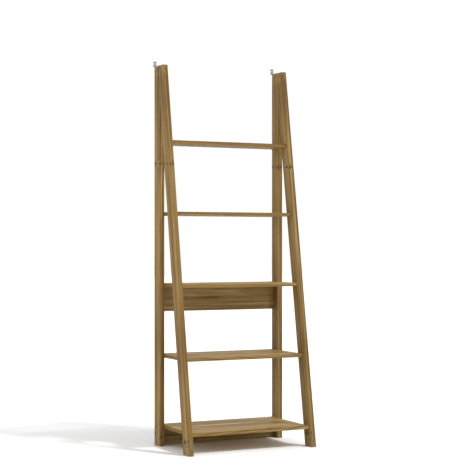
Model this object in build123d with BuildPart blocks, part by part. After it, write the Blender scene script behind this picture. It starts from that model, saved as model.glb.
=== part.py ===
from build123d import *
import os
from math import atan, cos, degrees

# Free-standing ladder shelf: two A-shaped side frames tied together by five
# fixed shelves, a wide back panel under the middle shelf and a low back rail.
# Every board end is held by a hidden cam lock, its connecting bolt and dowels.
# Millimetres. +X to the right, +Y to the back, +Z up, floor at Z = 0.

os.makedirs("parts", exist_ok=True)

# ---------------------------------------------------------------- dimensions
HEIGHT = 1750.0         # side frames, floor to the square-cut top
WIDTH = 640.0           # across the outer faces of the side frames
FOOT_DEPTH = 389.0      # rear face to the toe of the front leg, on the floor
TOP_DEPTH = 97.0        # rear face to front face at the top of the frames
LEG_THICK = 25.0        # leg section across the width
LEG_DEPTH = 60.0        # leg section from front to back, square to the leg
LEG_ROUND = 1.5         # radius of a leg's long edges
LEG_EASE = 0.6          # eased arris round the sawn ends

BOARD = 16.0            # thickness of shelves, panel and rail
BOARD_ROUND = 0.8       # radius of the boards' long edges
SHELF_TOP_LOW = 96.5    # top surface of the lowest shelf
SHELF_PITCH = 326.5     # shelf to shelf
SHELF_COUNT = 5
SHELF_SETBACK = 10.0    # shelf front edge behind the front leg's front face

PANEL_LOW = 618.0       # lower edge of the back panel
RAIL_LOW = 0.0          # the back rail reaches down to the floor, flush with the feet

BRACKET_REACH = 24.0    # the wall brackets stand this far behind the legs
BRACKET_W = 15.0
BRACKET_T = 2.0
BRACKET_ON_LEG = 42.0   # length of the flat flange lying on the leg's top
BRACKET_UP = 28.5       # top of the upright flange above the leg's top
BRACKET_HOLE_UP = 17.5  # wall screw hole above the leg's top
BRACKET_HOLE_R = 3.0
BRACKET_SCREWS = (12.0, 31.0)   # screw positions in front of the rear face

DOWEL_R = 4.0
DOWEL_LEN = 30.0
FIT = 0.1               # radial clearance round dowels, bolts and cams

CAM_R = 7.5
CAM_DEEP = 12.5
CAM_IN = 34.0           # cam centre from the board's end
BOLT_THREAD_R = 2.9
BOLT_THREAD_LEN = 11.0
BOLT_SHANK_R = 3.2
BOLT_NECK_R = 1.9
BOLT_HEAD_R = 3.3

# ------------------------------------------------------------ derived values
Y_BACK = (FOOT_DEPTH - BRACKET_REACH) / 2      # rear face of legs and boards
Y_TOE = Y_BACK - FOOT_DEPTH
Y_SEAM = Y_BACK - LEG_DEPTH                    # front face of the rear legs
RAKE = (FOOT_DEPTH - TOP_DEPTH) / HEIGHT       # front leg: forward per height
TILT = degrees(atan(RAKE))
LEG_RUN = LEG_DEPTH / cos(atan(RAKE))          # level depth of the front leg
X_OUT = WIDTH / 2
X_IN = X_OUT - LEG_THICK
X_MID = X_OUT - LEG_THICK / 2
SHELF_TOPS = [SHELF_TOP_LOW + SHELF_PITCH * (SHELF_COUNT - 1 - i) for i in range(SHELF_COUNT)]


def leg_front(z):
    """Y of the front leg's front face at height z."""
    return Y_TOE + RAKE * z


def shelf_front(top):
    """Y of the square front edge of the shelf whose top surface is at top."""
    return leg_front(top) + SHELF_SETBACK


def shelf_fixings(top):
    """Cam and dowel positions (y, z) along one end of a shelf."""
    z = top - BOARD / 2
    cams = [(leg_front(z) + 27.0, z), (Y_BACK - 38.0, z)]
    dowels = [(leg_front(z) + 47.0, z), (Y_BACK - 13.0, z)]
    return cams, dowels


PANEL_TOP = SHELF_TOPS[2] - BOARD
RAIL_TOP = SHELF_TOPS[4] - BOARD
Y_BOARD_MID = Y_BACK - BOARD / 2
panel_cams = [(Y_BOARD_MID, PANEL_LOW + 28.0)]
panel_dowels = [(Y_BOARD_MID, PANEL_TOP - 28.0)]
rail_cams = [(Y_BOARD_MID, RAIL_LOW + 22.0)]
rail_dowels = [(Y_BOARD_MID, RAIL_TOP - 20.0)]

# holes in the inner face of each leg, as (y, z)
rear_bolt_holes = [shelf_fixings(t)[0][1] for t in SHELF_TOPS] + panel_cams + rail_cams
rear_dowel_holes = [shelf_fixings(t)[1][1] for t in SHELF_TOPS] + panel_dowels + rail_dowels
front_bolt_holes = [shelf_fixings(t)[0][0] for t in SHELF_TOPS]
front_dowel_holes = [shelf_fixings(t)[1][0] for t in SHELF_TOPS]
seam_dowels = [HEIGHT - 92.0, HEIGHT - 36.0]   # heights of the dowels that join the two legs

# sketch planes: local x = +Y, local y = +Z, normal +X
inner_left = Plane(origin=(-X_IN, 0, 0), x_dir=(0, 1, 0), z_dir=(1, 0, 0))
inner_right = Plane(origin=(X_IN, 0, 0), x_dir=(0, 1, 0), z_dir=(1, 0, 0))
# faces that the cams are let into: normal points into the board
back_face = Plane(origin=(0, Y_BACK, 0), x_dir=(1, 0, 0), z_dir=(0, -1, 0))


# --------------------------------------------------------------------- legs
def rear_leg(x_mid, inner, into):
    """Upright leg; into is -1 or +1, the way its holes run from the inner face."""
    with BuildPart() as leg:
        with BuildSketch(Plane.XY):
            with Locations((x_mid, Y_BACK - LEG_DEPTH / 2)):
                RectangleRounded(LEG_THICK, LEG_DEPTH, LEG_ROUND)
        extrude(amount=HEIGHT)
        fillet(leg.faces().sort_by(Axis.Z)[0].edges() + leg.faces().sort_by(Axis.Z)[-1].edges(), LEG_EASE)
        with BuildSketch(inner):
            with Locations(*rear_bolt_holes):
                Circle(BOLT_THREAD_R + FIT)
        extrude(amount=into * (BOLT_THREAD_LEN + 1), mode=Mode.SUBTRACT)
        with BuildSketch(inner):
            with Locations(*rear_dowel_holes):
                Circle(DOWEL_R + FIT)
        extrude(amount=into * (DOWEL_LEN / 2 + 1), mode=Mode.SUBTRACT)
        # blind holes for the dowels that join the front leg
        with BuildSketch(Plane(origin=(0, Y_SEAM, 0), x_dir=(1, 0, 0), z_dir=(0, -1, 0))):
            with Locations(*[(x_mid, z) for z in seam_dowels]):
                Circle(DOWEL_R + FIT)
        extrude(amount=-(DOWEL_LEN / 2 + 1), mode=Mode.SUBTRACT)
        # pilot holes for the bracket screws in the end grain
        with BuildSketch(Plane.XY.offset(HEIGHT)):
            with Locations(*[(x_mid, Y_BACK - d) for d in BRACKET_SCREWS]):
                Circle(2.0 + FIT)
        extrude(amount=-31.0, mode=Mode.SUBTRACT)
    return leg


def front_leg(x_mid, inner, into):
    """Raked leg, cut level at floor and top and upright where it meets the rear leg."""
    foot = Vector(x_mid, Y_TOE + LEG_RUN / 2, 0)
    along = Vector(0, RAKE, 1).normalized()
    with BuildPart() as leg:
        with BuildSketch(Plane(origin=foot, x_dir=(1, 0, 0), z_dir=along)):
            RectangleRounded(LEG_THICK, LEG_DEPTH, LEG_ROUND)
        extrude(amount=HEIGHT * 1.05)
        extrude(leg.faces().sort_by(Axis.Z)[0], amount=40.0)
        split(bisect_by=Plane.XY, keep=Keep.TOP)
        split(bisect_by=Plane.XY.offset(HEIGHT), keep=Keep.BOTTOM)
        split(bisect_by=Plane(origin=(0, Y_SEAM, 0), x_dir=(1, 0, 0), z_dir=(0, -1, 0)), keep=Keep.TOP)
        fillet(leg.faces().sort_by(Axis.Z)[0].edges() + leg.faces().sort_by(Axis.Z)[-1].edges(), LEG_EASE)
        with BuildSketch(inner):
            with Locations(*front_bolt_holes):
                Circle(BOLT_THREAD_R + FIT)
        extrude(amount=into * (BOLT_THREAD_LEN + 1), mode=Mode.SUBTRACT)
        with BuildSketch(inner):
            with Locations(*front_dowel_holes):
                Circle(DOWEL_R + FIT)
        extrude(amount=into * (DOWEL_LEN / 2 + 1), mode=Mode.SUBTRACT)
        with BuildSketch(Plane(origin=(0, Y_SEAM, 0), x_dir=(1, 0, 0), z_dir=(0, -1, 0))):
            with Locations(*[(x_mid, z) for z in seam_dowels]):
                Circle(DOWEL_R + FIT)
        extrude(amount=DOWEL_LEN / 2 + 1, mode=Mode.SUBTRACT)
    return leg


rear_leg_left = rear_leg(-X_MID, inner_left, -1)
rear_leg_left.part.label = "rear_leg_left"
export_step(rear_leg_left.part, "parts/rear_leg_left.step")

rear_leg_right = rear_leg(X_MID, inner_right, 1)
rear_leg_right.part.label = "rear_leg_right"
export_step(rear_leg_right.part, "parts/rear_leg_right.step")

front_leg_left = front_leg(-X_MID, inner_left, -1)
front_leg_left.part.label = "front_leg_left"
export_step(front_leg_left.part, "parts/front_leg_left.step")

front_leg_right = front_leg(X_MID, inner_right, 1)
front_leg_right.part.label = "front_leg_right"
export_step(front_leg_right.part, "parts/front_leg_right.step")


# ------------------------------------------------------------------- boards
def board(plane, length, low, high, cam_face, cam_points, cams, dowels):
    """A board between the side frames.

    plane       sketch plane of the board's lower or rear face, x along the board
    low, high   extent of the board across the sketch, local y
    cam_face    plane the cams are let into, normal into the board
    cam_points  cam centres on that plane, left-hand half
    cams, dowels  positions (y, z) of the fixings along each end
    """
    with BuildPart() as piece:
        with BuildSketch(plane):
            with Locations((0, (low + high) / 2)):
                Rectangle(length, high - low)
        extrude(amount=BOARD)
        fillet(piece.edges().filter_by(Axis.X), BOARD_ROUND)
        with BuildSketch(cam_face):
            with Locations(*cam_points, *[(-x, y) for x, y in cam_points]):
                Circle(CAM_R + FIT)
        extrude(amount=CAM_DEEP + FIT, mode=Mode.SUBTRACT)
        for face, into in ((inner_left, 1), (inner_right, -1)):
            with BuildSketch(face):
                with Locations(*cams):
                    Circle(BOLT_SHANK_R + FIT + 0.1)
            extrude(amount=into * CAM_IN, mode=Mode.SUBTRACT)
            with BuildSketch(face):
                with Locations(*dowels):
                    Circle(DOWEL_R + FIT)
            extrude(amount=into * (DOWEL_LEN / 2 + 1), mode=Mode.SUBTRACT)
    return piece


def shelf_cam_points(top):
    return [(-(X_IN - CAM_IN), y) for y, z in shelf_fixings(top)[0]]


def shelf(top):
    under = Plane.XY.offset(top - BOARD)
    cams, dowels = shelf_fixings(top)
    return board(under, 2 * X_IN, shelf_front(top), Y_BACK, under, shelf_cam_points(top), cams, dowels)


shelf_1_top = shelf(SHELF_TOPS[0])
shelf_1_top.part.label = "shelf_1_top"
export_step(shelf_1_top.part, "parts/shelf_1_top.step")

shelf_2_upper = shelf(SHELF_TOPS[1])
shelf_2_upper.part.label = "shelf_2_upper"
export_step(shelf_2_upper.part, "parts/shelf_2_upper.step")

shelf_3_middle = shelf(SHELF_TOPS[2])
shelf_3_middle.part.label = "shelf_3_middle"
export_step(shelf_3_middle.part, "parts/shelf_3_middle.step")

shelf_4_lower = shelf(SHELF_TOPS[3])
shelf_4_lower.part.label = "shelf_4_lower"
export_step(shelf_4_lower.part, "parts/shelf_4_lower.step")

shelf_5_bottom = shelf(SHELF_TOPS[4])
shelf_5_bottom.part.label = "shelf_5_bottom"
export_step(shelf_5_bottom.part, "parts/shelf_5_bottom.step")

panel_cam_points = [(-(X_IN - CAM_IN), z) for y, z in panel_cams]
back_panel = board(back_face, 2 * X_IN, PANEL_LOW, PANEL_TOP, back_face, panel_cam_points, panel_cams, panel_dowels)
back_panel.part.label = "back_panel"
export_step(back_panel.part, "parts/back_panel.step")

rail_cam_points = [(-(X_IN - CAM_IN), z) for y, z in rail_cams]
lower_back_rail = board(back_face, 2 * X_IN, RAIL_LOW, RAIL_TOP, back_face, rail_cam_points, rail_cams, rail_dowels)
lower_back_rail.part.label = "lower_back_rail"
export_step(lower_back_rail.part, "parts/lower_back_rail.step")


# ----------------------------------------------------------------- fixings
def cam_locks(face, points):
    """Zinc cams, flush with the board's face, open towards the board's end."""
    with BuildPart() as cams:
        with BuildSketch(face):
            with Locations(*points):
                Circle(CAM_R)
        extrude(amount=CAM_DEEP)
        # cross slot for the screwdriver
        with BuildSketch(face):
            with Locations(*points):
                Rectangle(9.0, 1.6)
                Rectangle(1.6, 9.0)
        extrude(amount=2.2, mode=Mode.SUBTRACT)
        # pocket that grips the bolt head, open on the side of the board's end
        with BuildSketch(face.offset(BOARD / 2 - 3.8)):
            with Locations(*[(x - 3.0, y) for x, y in points]):
                Rectangle(13.2, 7.6)
        extrude(amount=7.6, mode=Mode.SUBTRACT)
        mirror(about=Plane.YZ)
    return cams


def cam_bolts(points):
    """Connecting bolts, screwed into the leg and gripped by the cam."""
    x = -X_IN
    steps = (
        (x - BOLT_THREAD_LEN, x, BOLT_THREAD_R),
        (x, x + 26.5, BOLT_SHANK_R),
        (x + 26.5, x + 31.5, BOLT_NECK_R),
        (x + 31.5, x + 35.5, BOLT_HEAD_R),
    )
    with BuildPart() as bolts:
        for x0, x1, r in steps:
            with BuildSketch(Plane(origin=(x0, 0, 0), x_dir=(0, 1, 0), z_dir=(1, 0, 0))):
                with Locations(*points):
                    Circle(r)
            extrude(amount=x1 - x0)
        # thread grooves
        for i in range(5):
            with BuildSketch(Plane(origin=(x - 10.0 + 2.0 * i, 0, 0), x_dir=(0, 1, 0), z_dir=(1, 0, 0))):
                with Locations(*points):
                    Circle(BOLT_THREAD_R + 1.0)
                    Circle(BOLT_THREAD_R - 0.7, mode=Mode.SUBTRACT)
            extrude(amount=0.8, mode=Mode.SUBTRACT)
        mirror(about=Plane.YZ)
    return bolts


def end_dowels(points):
    """Wooden dowels across the joint between a board's end and the leg."""
    with BuildPart() as dowels:
        with BuildSketch(Plane(origin=(-X_IN - DOWEL_LEN / 2, 0, 0), x_dir=(0, 1, 0), z_dir=(1, 0, 0))):
            with Locations(*points):
                Circle(DOWEL_R)
        extrude(amount=DOWEL_LEN)
        chamfer(dowels.edges().filter_by(GeomType.CIRCLE), 0.8)
        mirror(about=Plane.YZ)
    return dowels


for number, top in enumerate(SHELF_TOPS, start=1):
    cam_at, dowel_at = shelf_fixings(top)

    shelf_cam_locks = cam_locks(Plane.XY.offset(top - BOARD), shelf_cam_points(top))
    shelf_cam_locks.part.label = f"shelf_{number}_cam_locks"
    export_step(shelf_cam_locks.part, f"parts/shelf_{number}_cam_locks.step")

    shelf_cam_bolts = cam_bolts(cam_at)
    shelf_cam_bolts.part.label = f"shelf_{number}_cam_bolts"
    export_step(shelf_cam_bolts.part, f"parts/shelf_{number}_cam_bolts.step")

    shelf_dowels = end_dowels(dowel_at)
    shelf_dowels.part.label = f"shelf_{number}_dowels"
    export_step(shelf_dowels.part, f"parts/shelf_{number}_dowels.step")

panel_cam_locks = cam_locks(back_face, panel_cam_points)
panel_cam_locks.part.label = "panel_cam_locks"
export_step(panel_cam_locks.part, "parts/panel_cam_locks.step")

panel_cam_bolts = cam_bolts(panel_cams)
panel_cam_bolts.part.label = "panel_cam_bolts"
export_step(panel_cam_bolts.part, "parts/panel_cam_bolts.step")

panel_end_dowels = end_dowels(panel_dowels)
panel_end_dowels.part.label = "panel_dowels"
export_step(panel_end_dowels.part, "parts/panel_dowels.step")

rail_cam_locks = cam_locks(back_face, rail_cam_points)
rail_cam_locks.part.label = "rail_cam_locks"
export_step(rail_cam_locks.part, "parts/rail_cam_locks.step")

rail_cam_bolts = cam_bolts(rail_cams)
rail_cam_bolts.part.label = "rail_cam_bolts"
export_step(rail_cam_bolts.part, "parts/rail_cam_bolts.step")

rail_end_dowels = end_dowels(rail_dowels)
rail_end_dowels.part.label = "rail_dowels"
export_step(rail_end_dowels.part, "parts/rail_dowels.step")


def frame_dowels(x_mid):
    """Dowels that join the front leg to the rear leg where they meet."""
    with BuildPart() as dowels:
        with BuildSketch(Plane(origin=(0, Y_SEAM + DOWEL_LEN / 2, 0), x_dir=(1, 0, 0), z_dir=(0, -1, 0))):
            with Locations(*[(x_mid, z) for z in seam_dowels]):
                Circle(DOWEL_R)
        extrude(amount=DOWEL_LEN)
        chamfer(dowels.edges().filter_by(GeomType.CIRCLE), 0.8)
    return dowels


frame_dowels_left = frame_dowels(-X_MID)
frame_dowels_left.part.label = "frame_dowels_left"
export_step(frame_dowels_left.part, "parts/frame_dowels_left.step")

frame_dowels_right = frame_dowels(X_MID)
frame_dowels_right.part.label = "frame_dowels_right"
export_step(frame_dowels_right.part, "parts/frame_dowels_right.step")


# ------------------------------------------------------------ wall brackets
def wall_bracket(x_mid):
    """Folded steel angle: flat flange on the leg's top, upright flange behind it."""
    y0 = Y_BACK - BRACKET_ON_LEG
    y1 = Y_BACK + BRACKET_REACH
    with BuildPart() as bracket:
        with BuildSketch(Plane(origin=(x_mid, 0, 0), x_dir=(0, 1, 0), z_dir=(1, 0, 0))) as profile:
            with BuildLine():
                Polyline(
                    (y0, HEIGHT), (y1, HEIGHT), (y1, HEIGHT + BRACKET_UP),
                    (y1 - BRACKET_T, HEIGHT + BRACKET_UP), (y1 - BRACKET_T, HEIGHT + BRACKET_T),
                    (y0, HEIGHT + BRACKET_T), close=True,
                )
            make_face()
            # bend: outer and inner radius, one bend thickness apart
            outer = profile.vertices().sort_by_distance((y1, HEIGHT))[0]
            inner = profile.vertices().sort_by_distance((y1 - BRACKET_T, HEIGHT + BRACKET_T))[0]
            fillet(outer, BRACKET_T + 1.0)
            fillet(profile.vertices().sort_by_distance(inner)[0], 1.0)
        extrude(amount=BRACKET_W / 2, both=True)
        # rounded free corners of both flanges
        fillet(bracket.edges().filter_by(Axis.Y).group_by(Axis.Z)[-1], 3.0)
        fillet(bracket.edges().filter_by(Axis.Z).group_by(Axis.Y)[0], 3.0)
        with Locations(Plane(origin=(x_mid, Y_BACK + BRACKET_REACH - BRACKET_T, HEIGHT + BRACKET_HOLE_UP), x_dir=(1, 0, 0), z_dir=(0, -1, 0))):
            Hole(BRACKET_HOLE_R, depth=BRACKET_T * 2)
        with Locations(*[Plane(origin=(x_mid, Y_BACK - d, HEIGHT + BRACKET_T)) for d in BRACKET_SCREWS]):
            Hole(2.3, depth=BRACKET_T * 2)
    return bracket


wall_bracket_left = wall_bracket(-X_MID)
wall_bracket_left.part.label = "wall_bracket_left"
export_step(wall_bracket_left.part, "parts/wall_bracket_left.step")

wall_bracket_right = wall_bracket(X_MID)
wall_bracket_right.part.label = "wall_bracket_right"
export_step(wall_bracket_right.part, "parts/wall_bracket_right.step")


def bracket_screws(x_mid):
    """Pan-head wood screws that hold the bracket to the leg's end grain."""
    places = [(x_mid, Y_BACK - d) for d in BRACKET_SCREWS]
    with BuildPart() as screws:
        with BuildSketch(Plane.XY.offset(HEIGHT + BRACKET_T)):
            with Locations(*places):
                Circle(4.0)
        extrude(amount=2.4)
        fillet(screws.edges().filter_by(GeomType.CIRCLE).group_by(Axis.Z)[-1], 1.6)
        with BuildSketch(Plane.XY.offset(HEIGHT + BRACKET_T)):
            with Locations(*places):
                Circle(2.0)
        extrude(amount=-24.0)
        with BuildSketch(Plane.XY.offset(HEIGHT + BRACKET_T - 24.0)):
            with Locations(*places):
                Circle(2.0)
        extrude(amount=-4.0, taper=20)
        # thread grooves
        for i in range(8):
            with BuildSketch(Plane.XY.offset(HEIGHT - 20.5 + 2.0 * i)):
                with Locations(*places):
                    Circle(3.0)
                    Circle(1.4, mode=Mode.SUBTRACT)
            extrude(amount=0.8, mode=Mode.SUBTRACT)
        # cross recess
        with BuildSketch(Plane.XY.offset(HEIGHT + BRACKET_T + 2.4)):
            with Locations(*places):
                Rectangle(4.4, 0.9)
                Rectangle(0.9, 4.4)
        extrude(amount=-1.6, mode=Mode.SUBTRACT)
    return screws


bracket_screws_left = bracket_screws(-X_MID)
bracket_screws_left.part.label = "bracket_screws_left"
export_step(bracket_screws_left.part, "parts/bracket_screws_left.step")

bracket_screws_right = bracket_screws(X_MID)
bracket_screws_right.part.label = "bracket_screws_right"
export_step(bracket_screws_right.part, "parts/bracket_screws_right.step")
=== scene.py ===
import bpy
import math
from mathutils import Matrix, Vector


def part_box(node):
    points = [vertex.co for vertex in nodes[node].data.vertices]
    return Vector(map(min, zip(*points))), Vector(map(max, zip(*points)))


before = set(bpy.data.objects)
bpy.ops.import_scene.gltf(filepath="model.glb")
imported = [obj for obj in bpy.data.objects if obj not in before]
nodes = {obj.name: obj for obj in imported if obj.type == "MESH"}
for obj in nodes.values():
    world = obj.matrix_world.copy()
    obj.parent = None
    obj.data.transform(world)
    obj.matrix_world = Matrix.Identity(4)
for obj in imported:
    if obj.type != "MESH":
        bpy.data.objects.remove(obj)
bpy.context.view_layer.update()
scene = bpy.context.scene

# ------------------------------------------------------------------ measures
rear_lo, rear_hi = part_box("rear_leg_left")
front_lo, front_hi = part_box("front_leg_left")
HEIGHT = rear_hi.z
Y_BACK = rear_hi.y
Y_SEAM = rear_lo.y
Y_TOE = front_lo.y
LEG_DEPTH = Y_BACK - Y_SEAM
# the raked leg's front face, from its own vertices at the top and at the floor
verts = [v.co for v in nodes["front_leg_left"].data.vertices]
top_front = min(v.y for v in verts if v.z > HEIGHT - 0.002)
RAKE = (top_front - Y_TOE) / HEIGHT
TILT = math.atan(RAKE)


# ------------------------------------------------------------- node helpers
class Tree:
    """Small helper round one material's node tree."""

    def __init__(self, name):
        self.mat = bpy.data.materials.new(name)
        self.mat.use_nodes = True
        self.t = self.mat.node_tree
        self.t.nodes.clear()
        self.out = self.t.nodes.new("ShaderNodeOutputMaterial")
        self.bsdf = self.t.nodes.new("ShaderNodeBsdfPrincipled")
        self.link(self.bsdf.outputs["BSDF"], self.out.inputs["Surface"])

    def link(self, a, b):
        self.t.links.new(a, b)

    def put(self, socket, value):
        if isinstance(value, bpy.types.NodeSocket):
            self.link(value, socket)
        else:
            socket.default_value = value

    def object_coords(self):
        return self.t.nodes.new("ShaderNodeTexCoord").outputs["Object"]

    def mapping(self, vec, loc=(0, 0, 0), rot=(0, 0, 0), scale=(1, 1, 1), kind="POINT"):
        n = self.t.nodes.new("ShaderNodeMapping")
        n.vector_type = kind
        self.put(n.inputs["Vector"], vec)
        if kind != "NORMAL":
            n.inputs["Location"].default_value = loc
        n.inputs["Rotation"].default_value = rot
        n.inputs["Scale"].default_value = scale
        return n.outputs["Vector"]

    def math(self, op, a, b=0.0, c=None, clamp=False):
        n = self.t.nodes.new("ShaderNodeMath")
        n.operation = op
        n.use_clamp = clamp
        self.put(n.inputs[0], a)
        self.put(n.inputs[1], b)
        if c is not None:
            self.put(n.inputs[2], c)
        return n.outputs[0]

    def vmath(self, op, a, b=(0, 0, 0), scale=None):
        n = self.t.nodes.new("ShaderNodeVectorMath")
        n.operation = op
        self.put(n.inputs[0], a)
        if op not in ("LENGTH", "SCALE", "ABSOLUTE"):
            self.put(n.inputs[1], b)
        if scale is not None:
            self.put(n.inputs["Scale"], scale)
        return n.outputs["Value"] if op in ("LENGTH", "DOT_PRODUCT") else n.outputs["Vector"]

    def ramp(self, value, a, b, low=0.0, high=1.0, smooth=True):
        """value from a..b mapped to low..high, clamped."""
        n = self.t.nodes.new("ShaderNodeMapRange")
        n.interpolation_type = "SMOOTHSTEP" if smooth else "LINEAR"
        n.clamp = True
        self.put(n.inputs["Value"], value)
        n.inputs["From Min"].default_value = a
        n.inputs["From Max"].default_value = b
        n.inputs["To Min"].default_value = low
        n.inputs["To Max"].default_value = high
        return n.outputs["Result"]

    def noise(self, vec, scale=1.0, detail=2.0, rough=0.5, distortion=0.0, dims="3D", w=None, colour=False):
        n = self.t.nodes.new("ShaderNodeTexNoise")
        n.noise_dimensions = dims
        if dims != "1D":
            self.put(n.inputs["Vector"], vec)
        if w is not None:
            self.put(n.inputs["W"], w)
        n.inputs["Scale"].default_value = scale
        n.inputs["Detail"].default_value = detail
        n.inputs["Roughness"].default_value = rough
        n.inputs["Distortion"].default_value = distortion
        return n.outputs["Color"] if colour else n.outputs["Fac"]

    def xyz(self, vec):
        n = self.t.nodes.new("ShaderNodeSeparateXYZ")
        self.put(n.inputs[0], vec)
        return n.outputs["X"], n.outputs["Y"], n.outputs["Z"]

    def vec(self, x, y, z):
        n = self.t.nodes.new("ShaderNodeCombineXYZ")
        self.put(n.inputs[0], x)
        self.put(n.inputs[1], y)
        self.put(n.inputs[2], z)
        return n.outputs[0]

    def mix(self, fac, a, b, blend="MIX"):
        n = self.t.nodes.new("ShaderNodeMix")
        n.data_type = "RGBA"
        n.blend_type = blend
        n.clamp_factor = True
        self.put(n.inputs[0], fac)
        self.put(n.inputs[6], a)
        self.put(n.inputs[7], b)
        return n.outputs[2]

    def colours(self, fac, stops):
        n = self.t.nodes.new("ShaderNodeValToRGB")
        self.put(n.inputs["Fac"], fac)
        els = n.color_ramp.elements
        while len(els) > 1:
            els.remove(els[-1])
        els[0].position, els[0].color = stops[0][0], stops[0][1]
        for p, c in stops[1:]:
            e = els.new(p)
            e.color = c
        return n.outputs["Color"]

    def bump(self, height, distance, strength=1.0, normal=None):
        n = self.t.nodes.new("ShaderNodeBump")
        n.inputs["Strength"].default_value = strength
        n.inputs["Distance"].default_value = distance
        self.put(n.inputs["Height"], height)
        if normal is not None:
            self.put(n.inputs["Normal"], normal)
        return n.outputs["Normal"]


def srgb(r, g, b):
    """Linear colour from 0-255 display values."""
    f = lambda v: v / 12.92 if v <= 0.04045 else ((v + 0.055) / 1.055) ** 2.4
    return (f(r / 255), f(g / 255), f(b / 255), 1.0)


# ------------------------------------------------------------------ oak wood
def oak(name, origin, basis, half, seed, knots=(), tone=0.0, pith=(0.16, 0.055), spacing=0.0052,
        streak=1.0, drift=None, length=1.0, swing=0.45, front=0.0, rows=(), lean=(0.0, 0.0), figure=0.34,
        cast=(1.0, 1.0, 1.0)):
    """Matt lacquered oak for one piece.

    origin, basis  the piece's middle, and its grain, width and thickness directions
    half           half of its width and thickness, for the paler arrises, worn and with a painted highlight
    knots          (along, across, through, size, length) in the piece's own axes, metres
    pith           where the heart of the log lies from the piece, across and through
    drift          slow change of tone along the piece, as (share of length, tone) pairs
    front          painted shade: a tone of its own for the face at the low end of the width direction, mostly darker, for the shade that falls on it; or a pair: near the foot and above it
    rows           (along, reach, strength, greyness) of the zones where the grain curls
    lean           how far the heart runs off along the piece, which draws the arches of flat-sawn wood
    figure         how strongly the annual rings show
    cast           a cooler cast multiplied into its colour: painted light colour, for the neutral light the board gets in the shade
    """
    t = Tree(name)
    g, a, b = (Vector(v).normalized() for v in basis)
    # rotation that turns the row frame into the piece's own axes
    m = Matrix((g, a, b))
    e = m.to_euler("XYZ")
    p = t.mapping(t.object_coords(), loc=-(m @ Vector(origin)), rot=e)
    own = p

    # curly grain across the whole piece at each row of knots
    curl = None
    grey = None
    if rows:
        ox = t.xyz(own)[0]
        for along, reach, strength, greyness in rows:
            c = t.math("ABSOLUTE", t.math("SUBTRACT", ox, along))
            c = t.ramp(c, 0.0, reach, strength, 0.0)
            h = t.math("MULTIPLY", c, greyness)
            curl = c if curl is None else t.math("MAXIMUM", curl, c)
            grey = h if grey is None else t.math("MAXIMUM", grey, h)

    # the grain flows round each knot
    core = None
    halo = None
    for along, across, through, size, long in knots:
        q = t.mapping(p, loc=(along, across, through), scale=(long, size, size * 1.3), kind="TEXTURE")
        d = t.vmath("LENGTH", q)
        near = t.ramp(d, 0.0, 3.4, 1.0, 0.0)
        push = t.vmath("MULTIPLY", q, (0.0, size, size * 1.3))
        push = t.vmath("SCALE", push, scale=t.math("MULTIPLY", near, 0.66))
        p = t.vmath("SUBTRACT", p, push)
        k = t.ramp(d, 0.45, 1.05, 1.0, 0.0)
        h = t.ramp(d, 0.8, 2.4, 1.0, 0.0)
        core = k if core is None else t.math("MAXIMUM", core, k)
        halo = h if halo is None else t.math("MAXIMUM", halo, h)

    if curl is not None:
        twist = t.noise(t.mapping(own, loc=(seed, 2.0, 5.0), scale=(46.0, 60.0, 60.0)), detail=2.0, colour=True)
        twist = t.vmath("MULTIPLY", t.vmath("SUBTRACT", twist, (0.5, 0.5, 0.5)), (0.010, 0.016, 0.016))
        p = t.vmath("ADD", p, t.vmath("SCALE", twist, scale=curl))

    # slow wander of the fibres along the board
    off = Vector((3.17 * seed + 0.7, 1.93 * seed + 2.1, 5.41 * seed + 4.3))
    wander = t.noise(t.mapping(p, loc=off, scale=(1.7, 7.0, 7.0)), detail=2.0, rough=0.45, colour=True)
    wander = t.vmath("SUBTRACT", wander, (0.5, 0.5, 0.5))
    wander = t.vmath("MULTIPLY", wander, (0.0, 0.012, 0.012))
    f = t.vmath("ADD", p, wander)
    x, y, z = t.xyz(f)

    # annual rings about the heart of the log
    yy = t.math("SUBTRACT", y, pith[0])
    zz = t.math("SUBTRACT", z, pith[1])
    if lean[0] or lean[1]:
        yy = t.math("SUBTRACT", yy, t.math("MULTIPLY", x, lean[0]))
        zz = t.math("SUBTRACT", zz, t.math("MULTIPLY", x, lean[1]))
    r = t.math("SQRT", t.math("ADD", t.math("MULTIPLY", yy, yy), t.math("MULTIPLY", zz, zz)))
    turns = t.math("DIVIDE", r, spacing)
    uneven = t.noise(None, dims="1D", w=t.math("ADD", turns, 17.3 * seed), scale=0.45, detail=1.0)
    turns = t.math("ADD", turns, t.math("MULTIPLY", uneven, 1.6))
    tooth = t.math("FRACT", turns)
    ring = t.math("MULTIPLY", t.ramp(tooth, 0.0, 0.86, 0.0, 1.0), t.ramp(tooth, 0.86, 1.0, 1.0, 0.0))
    weight = t.noise(None, dims="1D", w=t.math("ADD", t.math("FLOOR", turns), 31.0 * seed), scale=0.73, detail=0.0)
    ring = t.math("MULTIPLY", ring, t.ramp(weight, 0.25, 0.75, 0.30, 1.0))

    # streaks at three widths, all drawn out along the grain
    broad = t.noise(t.mapping(f, loc=off * 1.7, scale=(0.8, 62.0, 62.0)), detail=2.0, rough=0.55)
    mid = t.noise(t.mapping(f, loc=off * 2.3, scale=(1.9, 170.0, 170.0)), detail=3.0, rough=0.6)
    fine = t.noise(t.mapping(f, loc=off * 3.1, scale=(9.0, 900.0, 900.0)), detail=3.0, rough=0.6)
    cloud = t.noise(t.mapping(own, loc=off * 0.6, scale=(2.6, 9.0, 9.0)), detail=2.0, rough=0.5)

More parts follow.
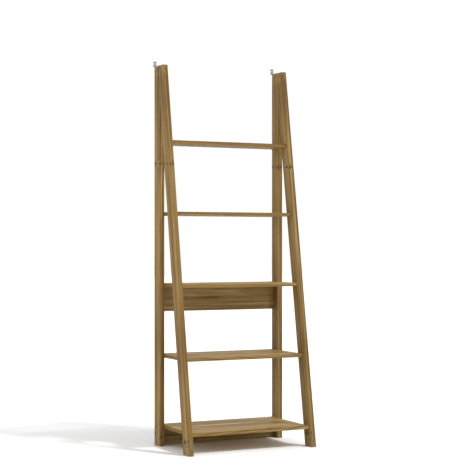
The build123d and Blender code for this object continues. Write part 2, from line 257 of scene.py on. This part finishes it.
    v = t.math("MULTIPLY", t.math("SUBTRACT", broad, 0.5), 1.25 * streak)
    v = t.math("ADD", v, t.math("MULTIPLY", t.math("SUBTRACT", mid, 0.5), 1.35 * streak))
    v = t.math("ADD", v, t.math("MULTIPLY", t.math("SUBTRACT", fine, 0.5), 0.45))
    v = t.math("ADD", v, t.math("MULTIPLY", t.math("SUBTRACT", cloud, 0.5), swing))
    v = t.math("ADD", v, t.math("MULTIPLY", t.math("SUBTRACT", ring, 0.4), -figure))
    v = t.math("ADD", v, 0.5 + tone)
    if drift is not None:
        ox = t.xyz(own)[0]
        along = t.math("ADD", t.math("DIVIDE", ox, length), 0.5)
        slow = t.colours(along, [(s, (0.5 + d, 0.5 + d, 0.5 + d, 1.0)) for s, d in drift])
        v = t.math("ADD", v, t.math("SUBTRACT", slow, 0.5))
    # painted shade: the front face gets a tone of its own, mostly darker, for the shade that falls on it
    if front:
        ox, oy, _ = t.xyz(own)
        front_shade_mask = t.ramp(oy, -half[0] + 0.0005, -half[0] + 0.006, 1.0, 0.0)
        if isinstance(front, tuple):
            front = t.ramp(ox, -length / 2 + 0.06, -length / 2 + 0.40, front[0], front[1])
        v = t.math("ADD", v, t.math("MULTIPLY", front_shade_mask, front))
    if curl is not None:
        burl = t.noise(t.mapping(own, loc=(2.0, seed, 9.0), scale=(150.0, 210.0, 210.0)), detail=2.0)
        v = t.math("ADD", v, t.math("MULTIPLY", t.math("SUBTRACT", burl, 0.5), t.math("MULTIPLY", curl, 0.75)))
    if halo is not None:
        v = t.math("SUBTRACT", v, t.math("MULTIPLY", halo, 0.08))
    base = t.colours(v, [
        (0.00, srgb(76, 54, 28)),
        (0.20, srgb(102, 77, 42)),
        (0.40, srgb(121, 95, 53)),
        (0.58, srgb(136, 110, 64)),
        (0.78, srgb(154, 128, 79)),
        (1.00, srgb(180, 155, 106)),
    ])
    # slow drift between a redder and a greener brown, as oak has
    hue = t.noise(t.mapping(f, loc=off * 4.1, scale=(1.1, 75.0, 75.0)), detail=1.0)
    base = t.mix(t.ramp(hue, 0.32, 0.47, 0.45, 0.0), base, (1.06, 0.955, 0.85, 1.0), "MULTIPLY")
    base = t.mix(t.ramp(hue, 0.53, 0.68, 0.0, 0.45), base, (0.955, 1.02, 0.92, 1.0), "MULTIPLY")

    # painted light colour: the cast tints the board cooler, standing in for the neutral light it gets in the shade
    if cast != (1.0, 1.0, 1.0):
        base = t.mix(1.0, base, (*cast, 1.0), "MULTIPLY")
    if grey is not None:      # curly grain is greyer
        base = t.mix(grey, base, (0.91, 1.01, 1.16, 1.0), "MULTIPLY")

    # open pores: short dark dashes, thick in the early wood
    pore = t.noise(t.mapping(f, loc=off * 5.3, scale=(95.0, 2300.0, 2300.0)), detail=1.0, rough=0.5)
    pore = t.ramp(pore, 0.60, 0.70, 0.0, 1.0)
    dense = t.math("ADD", 0.25, t.math("MULTIPLY", ring, 0.9), clamp=True)
    pore = t.math("MULTIPLY", pore, dense)
    base = t.mix(t.math("MULTIPLY", pore, 0.62), base, srgb(58, 37, 17))

    # knots: dark hearts with a tone of their own
    if core is not None:
        knot_tone = t.noise(t.mapping(own, loc=off * 1.1, scale=(160.0, 260.0, 260.0)), detail=2.0)
        heart = t.colours(knot_tone, [(0.3, srgb(36, 22, 10)), (0.7, srgb(82, 55, 27))])
        base = t.mix(t.math("MULTIPLY", core, 0.85), base, heart)

    # end grain: darker, with round pores instead of dashes
    geo = t.t.nodes.new("ShaderNodeNewGeometry")
    facing = t.math("ABSOLUTE", t.vmath("DOT_PRODUCT", geo.outputs["True Normal"], tuple(g)))
    end = t.ramp(facing, 0.75, 0.95, 0.0, 1.0)
    dots = t.noise(t.mapping(own, loc=off, scale=(40.0, 2600.0, 2600.0)), detail=1.0)
    dots = t.ramp(dots, 0.52, 0.66, 0.0, 1.0)
    dark_end = t.math("MULTIPLY", t.math("ADD", dots, t.math("MULTIPLY", ring, 0.7)), 0.5)
    end_base = t.mix(dark_end, srgb(124, 96, 54), srgb(62, 42, 20))
    base = t.mix(t.math("MULTIPLY", end, 0.85), base, end_base)

    # arrises painted paler: partly rubbed wear, partly a painted highlight for the light their rounded edges catch
    _, oy, oz = t.xyz(own)
    ey = t.math("SUBTRACT", half[0], t.math("ABSOLUTE", oy))
    ez = t.math("SUBTRACT", half[1], t.math("ABSOLUTE", oz))
    wear_and_highlight = t.ramp(t.math("MAXIMUM", ey, ez), 0.0004, 0.0022, 1.0, 0.0)
    rub = t.noise(t.mapping(own, loc=off * 0.9, scale=(22.0, 60.0, 60.0)), detail=3.0)
    wear_and_highlight = t.math("MULTIPLY", wear_and_highlight, t.ramp(rub, 0.35, 0.65, 0.1, 0.45))
    base = t.mix(wear_and_highlight, base, srgb(172, 144, 96))
    t.put(t.bsdf.inputs["Base Color"], base)

    rough = t.math("ADD", 0.56, t.math("MULTIPLY", t.math("SUBTRACT", mid, 0.5), 0.18))
    rough = t.math("ADD", rough, t.math("MULTIPLY", pore, 0.16))
    rough = t.math("SUBTRACT", rough, t.math("MULTIPLY", wear_and_highlight, 0.12), clamp=True)
    t.put(t.bsdf.inputs["Roughness"], rough)
    t.bsdf.inputs["Specular IOR Level"].default_value = 0.09

    height = t.math("ADD", t.math("MULTIPLY", fine, 0.35), t.math("MULTIPLY", pore, -1.0))
    height = t.math("ADD", height, t.math("MULTIPLY", ring, -0.25))
    if core is not None:
        height = t.math("ADD", height, t.math("MULTIPLY", core, -0.6))
    t.put(t.bsdf.inputs["Normal"], t.bump(height, 0.00018, 0.8))
    return t.mat


def give(node, mat):
    """Puts one material on every slot of a CAD node."""
    me = nodes[node].data
    if not me.materials:
        me.materials.append(mat)
    for i in range(len(me.materials)):
        me.materials[i] = mat


UP = (0.0, 0.0, 1.0)
ALONG_RAKE = (0.0, math.sin(TILT), math.cos(TILT))
ACROSS_RAKE = (0.0, math.cos(TILT), -math.sin(TILT))
TO_LEFT = (-1.0, 0.0, 0.0)

# tone along the legs, from the feet to the top
LEG_DRIFT = [(0.0, 0.03), (0.03, 0.01), (0.06, -0.02), (0.12, 0.02), (0.18, 0.0), (0.235, -0.12), (0.28, -0.10), (0.33, -0.04),
             (0.42, 0.0), (0.47, -0.01), (0.50, 0.04), (0.56, 0.08), (0.66, 0.05), (0.80, 0.07), (0.86, 0.0),
             (0.91, -0.10), (0.965, -0.12), (0.982, 0.0), (1.0, 0.02)]

# each leg's own wood, seed and tone, and on top of that the painted shade of its front face
REAR_WOOD = {"left": (1110, -0.01, -0.10), "right": (362, -0.01, -0.08)}
FRONT_WOOD = {"left": (954, -0.06, (-0.20, -0.12)), "right": (2239, -0.04, (-0.02, -0.20))}

# knots in three rows: near the feet, at three quarters of the height and just below the top
KNOT_ROWS = (0.056, 1.295, 1.733)
for side, sx in (("left", 1.0), ("right", -1.0)):      # sx: outer face along TO_LEFT
    lo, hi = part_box("rear_leg_" + side)
    mid = (lo + hi) / 2
    half = ((hi.y - lo.y) / 2, (hi.x - lo.x) / 2)
    foot, row, crown = (z - mid.z for z in KNOT_ROWS)
    knots = [
        (row + 0.005, 0.017, half[1] * sx, 0.0100, 0.0075), (row + 0.004, -0.005, half[1] * sx, 0.0070, 0.0070),
        (row + 0.004, -0.026, half[1] * sx, 0.0100, 0.0075),
        (row + 0.007, 0.018, -half[1] * sx, 0.0100, 0.0075), (row + 0.005, -0.025, -half[1] * sx, 0.0095, 0.0070),
        (row + 0.001, -half[0], 0.007, 0.0044, 0.0070), (row + 0.002, -half[0], -0.007, 0.0034, 0.0060),
        (foot, 0.020, half[1] * sx, 0.0080, 0.0090), (foot - 0.012, -half[0], 0.004, 0.0042, 0.0070),
        (crown, -0.012, half[1] * sx, 0.0080, 0.0060), (crown - 0.006, 0.018, half[1] * sx, 0.0070, 0.0055),
        (crown - 0.002, 0.004, -half[1] * sx, 0.0080, 0.0065),
    ]
    rows = ((foot - 0.012, 0.075, 0.8, 1.0), (row, 0.028, 0.7, 0.2), (crown, 0.026, 1.5, 0.2))
    seed, tone, front = REAR_WOOD[side]
    give("rear_leg_" + side, oak("oak_rear_leg_" + side, mid, (UP, (0, 1, 0), TO_LEFT), half, seed, knots=knots,
                                 tone=tone, pith=(0.17, 0.05 * sx), drift=LEG_DRIFT, length=HEIGHT, swing=0.22,
                                 front=front, rows=rows))

    lo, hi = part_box("front_leg_" + side)
    zc = HEIGHT / 2
    mid = Vector(((lo.x + hi.x) / 2, Y_TOE + RAKE * zc + LEG_DEPTH / math.cos(TILT) / 2, zc))
    half = (LEG_DEPTH / 2, (hi.x - lo.x) / 2)
    foot, row, crown = ((z - zc) / math.cos(TILT) for z in KNOT_ROWS)
    knots = [
        (row + 0.001, 0.017, half[1] * sx, 0.0085, 0.0065), (row - 0.004, -0.010, half[1] * sx, 0.0070, 0.0060),
        (row - 0.009, -half[0], 0.008, 0.0042, 0.0070), (row - 0.008, -half[0], -0.004, 0.0034, 0.0060),
        (row - 0.002, -0.007, -half[1] * sx, 0.0120, 0.0070), (row - 0.003, 0.020, -half[1] * sx, 0.0060, 0.0055),
        (foot + 0.003, 0.000, half[1] * sx, 0.0100, 0.0070), (foot - 0.018, -0.016, half[1] * sx, 0.0080, 0.0070),
        (foot + 0.004, -half[0], 0.009, 0.0040, 0.0075), (foot + 0.002, 0.002, -half[1] * sx, 0.0100, 0.0080),
        (crown - 0.004, -half[0] + 0.004, 0.002, 0.0042, 0.0070),
    ]
    rows = ((foot - 0.012, 0.075, 0.8, 1.0), (row, 0.028, 0.7, 0.2), (crown, 0.026, 1.5, 0.2))
    seed, tone, front = FRONT_WOOD[side]
    give("front_leg_" + side, oak("oak_front_leg_" + side, mid, (ALONG_RAKE, ACROSS_RAKE, TO_LEFT), half, seed,
                                  knots=knots, tone=tone, pith=(-0.18, 0.06 * sx), drift=LEG_DRIFT,
                                  length=HEIGHT / math.cos(TILT), swing=0.22, front=front, rows=rows))

# the boards: seed, tone of the whole board, painted shade of its front edge on top of that, streaks
shelves = {"shelf_1_top": (291, 0.0, -0.12, 0.8), "shelf_2_upper": (292, 0.0, -0.11, 0.7),
           "shelf_3_middle": (1361, 0.05, 0.01, 0.5), "shelf_4_lower": (374, 0.08, -0.23, 0.7),
           "shelf_5_bottom": (2523, 0.14, -0.07, 1.3)}
for i, (n, (seed, tone, front, streak)) in enumerate(shelves.items()):
    lo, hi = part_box(n)
    mid = (lo + hi) / 2
    half = ((hi.y - lo.y) / 2, (hi.z - lo.z) / 2)
    give(n, oak("oak_" + n, mid, ((1, 0, 0), (0, 1, 0), UP), half, seed, tone=tone, front=front,
                pith=((0.03, -0.045, 0.02, -0.03, 0.035)[i], -0.062), spacing=0.0052,
                lean=((0.03, -0.02, 0.025, 0.03, -0.025)[i], (0.05, -0.055, 0.045, -0.05, 0.055)[i]),
                streak=streak, figure=0.38))

# tone of the two upright boards, and their painted cooler cast for the neutral light in the shade under the
# shelves
upright_boards = {"back_panel": (0.19, (1.0, 1.01, 1.16)), "lower_back_rail": (0.06, (0.93, 1.0, 1.20))}
for i, (n, (tone, cast)) in enumerate(upright_boards.items()):
    lo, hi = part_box(n)
    mid = (lo + hi) / 2
    half = ((hi.z - lo.z) / 2, (hi.y - lo.y) / 2)
    knots = [(-0.02, 0.004, half[1] + 0.0036, 0.0040, 0.050)] if n == "back_panel" else ()
    give(n, oak("oak_" + n, mid, ((1, 0, 0), UP, (0, -1, 0)), half, 461 + i, tone=tone, knots=knots,
                pith=((0.03, -0.20), (-0.02, -0.16))[i], spacing=0.0052, lean=(0.01, 0.02),
                streak=0.80, figure=0.22, swing=0.25, cast=cast))


# ------------------------------------------------------------ beech and zinc
def beech():
    t = Tree("beech_dowel")
    p = t.object_coords()
    long = t.noise(t.mapping(p, scale=(60.0, 900.0, 900.0)), detail=3.0, rough=0.6)
    fleck = t.ramp(t.noise(t.mapping(p, loc=(1, 2, 3), scale=(260.0, 1900.0, 1900.0)), detail=1.0), 0.58, 0.70)
    base = t.colours(long, [(0.25, srgb(178, 136, 92)), (0.75, srgb(214, 178, 132))])
    base = t.mix(t.math("MULTIPLY", fleck, 0.5), base, srgb(140, 96, 58))
    t.put(t.bsdf.inputs["Base Color"], base)
    t.put(t.bsdf.inputs["Roughness"], t.ramp(long, 0.3, 0.7, 0.5, 0.66))
    t.bsdf.inputs["Specular IOR Level"].default_value = 0.3
    t.put(t.bsdf.inputs["Normal"], t.bump(long, 0.0002, 0.6))
    return t.mat


def zinc(name, light, dark, rough_lo, rough_hi, grain=(900.0, 90.0, 900.0), cast=False):
    """Zinc-plated or die-cast zinc: drawn grain or fine casting skin, faint blotches."""
    t = Tree(name)
    p = t.object_coords()
    if cast:
        skin = t.noise(t.mapping(p, scale=(1500.0, 1500.0, 1500.0)), detail=3.0, rough=0.6)
    else:
        skin = t.noise(t.mapping(p, scale=grain), detail=3.0, rough=0.55)
    blotch = t.noise(t.mapping(p, loc=(4, 1, 7), scale=(170.0, 170.0, 170.0)), detail=3.0, rough=0.55)
    tone = t.math("ADD", t.math("MULTIPLY", skin, 0.45), t.math("MULTIPLY", blotch, 0.55))
    base = t.colours(tone, [(0.30, dark), (0.70, light)])
    t.put(t.bsdf.inputs["Base Color"], base)
    t.bsdf.inputs["Metallic"].default_value = 1.0
    t.put(t.bsdf.inputs["Roughness"], t.ramp(tone, 0.3, 0.7, rough_lo, rough_hi))
    t.put(t.bsdf.inputs["Normal"], t.bump(skin, 0.00006, 0.5))
    return t.mat


beech_mat = beech()
bracket_mat = zinc("bracket_zinc", srgb(160, 161, 162), srgb(122, 123, 125), 0.30, 0.48)
steel_mat = zinc("zinc_steel", srgb(190, 192, 194), srgb(150, 152, 156), 0.22, 0.38)
cast_mat = zinc("zinc_casting", srgb(168, 168, 168), srgb(126, 127, 130), 0.38, 0.56, cast=True)

for n in nodes:
    if "dowel" in n:
        give(n, beech_mat)
    elif "cam_lock" in n:
        give(n, cast_mat)
    elif "cam_bolt" in n or "screw" in n:
        give(n, steel_mat)
    elif "bracket" in n:
        give(n, bracket_mat)

# ------------------------------------------------------------- floor, lights
bpy.ops.mesh.primitive_plane_add(size=60.0, location=(0, 0, 0))
floor = bpy.context.object
floor.name = "floor"
t = Tree("floor_white")
grain = t.noise(t.object_coords(), scale=3.0, detail=3.0)
t.put(t.bsdf.inputs["Base Color"], t.colours(grain, [(0.3, (0.65, 0.65, 0.65, 1)), (0.7, (0.66, 0.66, 0.66, 1))]))
t.bsdf.inputs["Roughness"].default_value = 0.9
t.bsdf.inputs["Specular IOR Level"].default_value = 0.1
floor.data.materials.append(t.mat)

world = bpy.data.worlds.new("studio")
scene.world = world
world.use_nodes = True
bg = world.node_tree.nodes["Background"]
bg.inputs["Color"].default_value = (1.0, 1.0, 1.0, 1.0)
sky = world.node_tree.nodes.new("ShaderNodeTexCoord")
split = world.node_tree.nodes.new("ShaderNodeSeparateXYZ")
rise = world.node_tree.nodes.new("ShaderNodeMapRange")       # a softbox overhead
world.node_tree.links.new(sky.outputs["Generated"], split.inputs[0])
world.node_tree.links.new(split.outputs["Z"], rise.inputs["Value"])
rise.inputs["From Min"].default_value = 0.1
rise.inputs["From Max"].default_value = 1.0
rise.inputs["To Min"].default_value = 1.02
rise.inputs["To Max"].default_value = 1.48
world.node_tree.links.new(rise.outputs["Result"], bg.inputs["Strength"])


def sun(name, toward, strength, angle, colour=(1, 1, 1)):
    """A distant lamp; toward is the direction from the object to the lamp."""
    d = bpy.data.lights.new(name, "SUN")
    d.energy = strength
    d.angle = math.radians(angle)
    d.color = colour
    o = bpy.data.objects.new(name, d)
    o.rotation_euler = (-Vector(toward)).to_track_quat("-Z", "Y").to_euler()
    scene.collection.objects.link(o)
    return o


def lights_only(lamp, name, objects):
    """The lamp lights these objects alone; everything still casts its shadow."""
    group = bpy.data.collections.new(name)
    for o in objects:
        group.objects.link(o)
    lamp.light_linking.receiver_collection = group


KEY_FROM = (0.465, -0.645, 1.0)
lights_only(sun("key", KEY_FROM, 1.3, 6.0, (1.0, 0.985, 0.96)), "lit_wood", nodes.values())
lights_only(sun("floor_key", KEY_FROM, 2.5, 7.0), "lit_floor", [floor])

# light thrown back down by the lowest shelf
low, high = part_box("shelf_5_bottom")
d = bpy.data.lights.new("under_shelf", "AREA")
d.shape = "RECTANGLE"
d.size = high.x - low.x
d.size_y = high.y - low.y
d.energy = 0.075
d.color = (1.0, 0.66, 0.34)
under = bpy.data.objects.new("under_shelf", d)
under.location = ((low.x + high.x) / 2, (low.y + high.y) / 2, low.z - 0.002)
under.visible_camera = False
scene.collection.objects.link(under)
lights_only(under, "lit_below", [floor, nodes["lower_back_rail"]])

# --------------------------------------------------------------------- camera
cam_data = bpy.data.cameras.new("camera")
cam_data.sensor_width = 36.0
cam_data.lens = 101.685
cam_data.shift_y = 0.0198
cam_data.clip_start = 0.1
cam_data.clip_end = 200.0
cam = bpy.data.objects.new("camera", cam_data)
scene.collection.objects.link(cam)
cam.location = (-2.70757, -5.49411, 0.92861)
cam.rotation_euler = (math.radians(90.0), 0.0, math.radians(-26.287))
scene.camera = cam

scene.view_settings.view_transform = "Standard"
scene.view_settings.look = "None"
scene.view_settings.exposure = 0.0
scene.view_settings.gamma = 1.0
